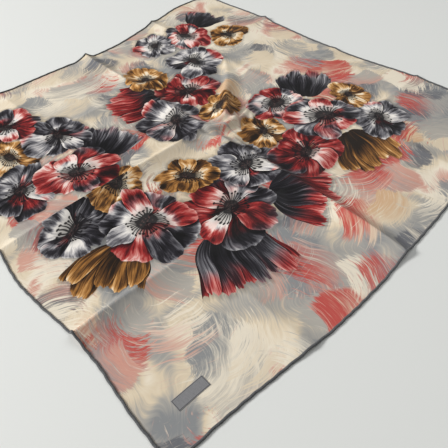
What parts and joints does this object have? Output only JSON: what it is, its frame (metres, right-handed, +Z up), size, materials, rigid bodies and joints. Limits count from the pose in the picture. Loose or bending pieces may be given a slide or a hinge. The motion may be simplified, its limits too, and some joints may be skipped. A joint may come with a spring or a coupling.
{
  "type": "headscarf",
  "caption": "Square printed headscarf laid out flat, with a dark rolled hem, soft storage creases and a small plain label near one corner.",
  "frame": {"origin": "centre of the bounding box, on the surface that the scarf lies on", "axes": "+X along the front hem to the right, +Y along the left hem away from the label's corner, +Z up out of the printed face"},
  "size_m": [0.9236, 0.9602, 0.0236],
  "materials": {
    "printed_cloth": "smooth satin twill, printed with flowers and brush strokes",
    "hem_thread": "matt overlock thread",
    "label_tape": "matt woven tape"
  },
  "bodies": {
    "root": {"cloth_panel": "printed_cloth", "hem_front": "hem_thread", "hem_right": "hem_thread", "hem_back": "hem_thread", "hem_left": "hem_thread", "label": "label_tape"}
  },
  "joints": []
}
